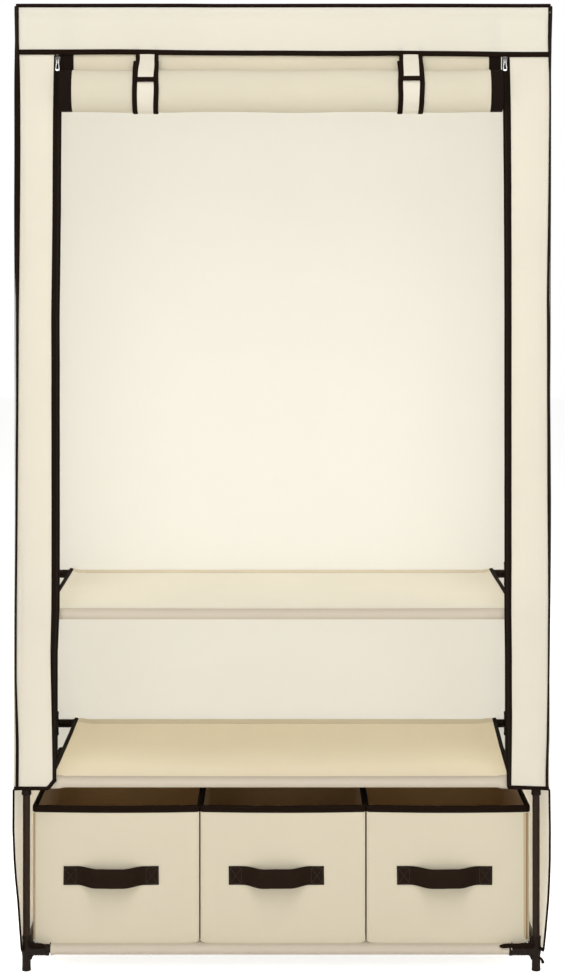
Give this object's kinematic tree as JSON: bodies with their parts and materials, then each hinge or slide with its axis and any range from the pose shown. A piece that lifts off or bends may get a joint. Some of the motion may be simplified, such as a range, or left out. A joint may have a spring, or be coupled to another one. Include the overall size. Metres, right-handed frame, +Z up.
{
  "type": "portable fabric wardrobe",
  "caption": "Open-front fabric wardrobe on a steel tube frame, with a roll-up zip door, a hanger rail, cloth shelves and pull-out storage bins with webbing handles.",
  "frame": {"origin": "on the floor, under the middle of the footprint", "axes": "+X to the wardrobe's right as seen from the front, +Y to its back, +Z up"},
  "size_m": [0.878, 0.5314, 1.588],
  "materials": {
    "cover_cloth": "matte",
    "door_cloth": "matte",
    "shelf_cloth": "matte",
    "bin_cloth": "matte",
    "dark_webbing": "matte",
    "tube_paint": "satin",
    "connector_plastic": "satin",
    "zip_dark_metal": "satin",
    "zip_pull_metal": "polished"
  },
  "bodies": {
    "root": {"post_front_left": "tube_paint", "post_front_right": "tube_paint", "post_rear_left": "tube_paint", "post_rear_right": "tube_paint", "connector_bottom_front_left": "connector_plastic", "connector_bottom_front_right": "connector_plastic", "connector_bottom_rear_left": "connector_plastic", "connector_bottom_rear_right": "connector_plastic", "connector_lower_front_left": "connector_plastic", "connector_lower_front_right": "connector_plastic", "connector_lower_rear_left": "connector_plastic", "connector_lower_rear_right": "connector_plastic", "connector_upper_front_left": "connector_plastic", "connector_upper_front_right": "connector_plastic", "connector_upper_rear_left": "connector_plastic", "connector_upper_rear_right": "connector_plastic", "connector_top_front_left": "connector_plastic", "connector_top_front_right": "connector_plastic", "connector_top_rear_left": "connector_plastic", "connector_top_rear_right": "connector_plastic", "tube_bottom_front": "tube_paint", "tube_bottom_rear": "tube_paint", "tube_bottom_left": "tube_paint", "tube_bottom_right": "tube_paint", "tube_lower_front": "tube_paint", "tube_lower_rear": "tube_paint", "tube_lower_left": "tube_paint", "tube_lower_right": "tube_paint", "tube_upper_front": "tube_paint", "tube_upper_rear": "tube_paint", "tube_upper_left": "tube_paint", "tube_upper_right": "tube_paint", "tube_top_front": "tube_paint", "tube_top_rear": "tube_paint", "tube_top_left": "tube_paint", "tube_top_right": "tube_paint", "hanger_rail": "tube_paint", "cover_top": "cover_cloth", "cover_back": "cover_cloth", "cover_side_left": "cover_cloth", "cover_side_right": "cover_cloth", "cover_front_strip_left": "cover_cloth", "cover_front_strip_right": "cover_cloth", "door_sheet": "door_cloth", "tie_strap_left": "dark_webbing", "tie_strap_right": "dark_webbing", "bottom_shelf": "shelf_cloth", "lower_shelf": "shelf_cloth", "upper_shelf": "shelf_cloth"},
    "left_bin": {"bin_left": "bin_cloth", "bin_handle_left": "dark_webbing"},
    "middle_bin": {"bin_middle": "bin_cloth", "bin_handle_middle": "dark_webbing"},
    "right_bin": {"bin_right": "bin_cloth", "bin_handle_right": "dark_webbing"},
    "rolled_door": {"door_roll": "door_cloth"},
    "left_slider": {"zip_slider_left": "zip_dark_metal"},
    "right_slider": {"zip_slider_right": "zip_dark_metal"},
    "left_pull": {"zip_pull_left": "zip_pull_metal"},
    "right_pull": {"zip_pull_right": "zip_pull_metal"}
  },
  "joints": [
    {"name": "left_bin_slide", "type": "slide", "parent": "root", "child": "left_bin", "axis": [0, -1, 0], "range_m": [0, 0.38]},
    {"name": "middle_bin_slide", "type": "slide", "parent": "root", "child": "middle_bin", "axis": [0, -1, 0], "range_m": [0, 0.38]},
    {"name": "right_bin_slide", "type": "slide", "parent": "root", "child": "right_bin", "axis": [0, -1, 0], "range_m": [0, 0.38]},
    {"name": "door_unroll", "type": "slide", "parent": "root", "child": "rolled_door", "axis": [0, 0, -1], "range_m": [0, 1.1], "deforming": ["door_sheet", "tie_strap_left", "tie_strap_right"]},
    {"name": "left_zip_slide", "type": "slide", "parent": "root", "child": "left_slider", "axis": [0, 0, -1], "range_m": [0, 1.16]},
    {"name": "right_zip_slide", "type": "slide", "parent": "root", "child": "right_slider", "axis": [0, 0, -1], "range_m": [0, 1.16]},
    {"name": "left_pull_swing", "type": "hinge", "parent": "left_slider", "child": "left_pull", "pos_m": [-0.366, -0.23015, 1.498], "axis": [-1, 0, 0], "range_deg": [0, 150]},
    {"name": "right_pull_swing", "type": "hinge", "parent": "right_slider", "child": "right_pull", "pos_m": [0.366, -0.23015, 1.498], "axis": [-1, 0, 0], "range_deg": [0, 150]}
  ]
}
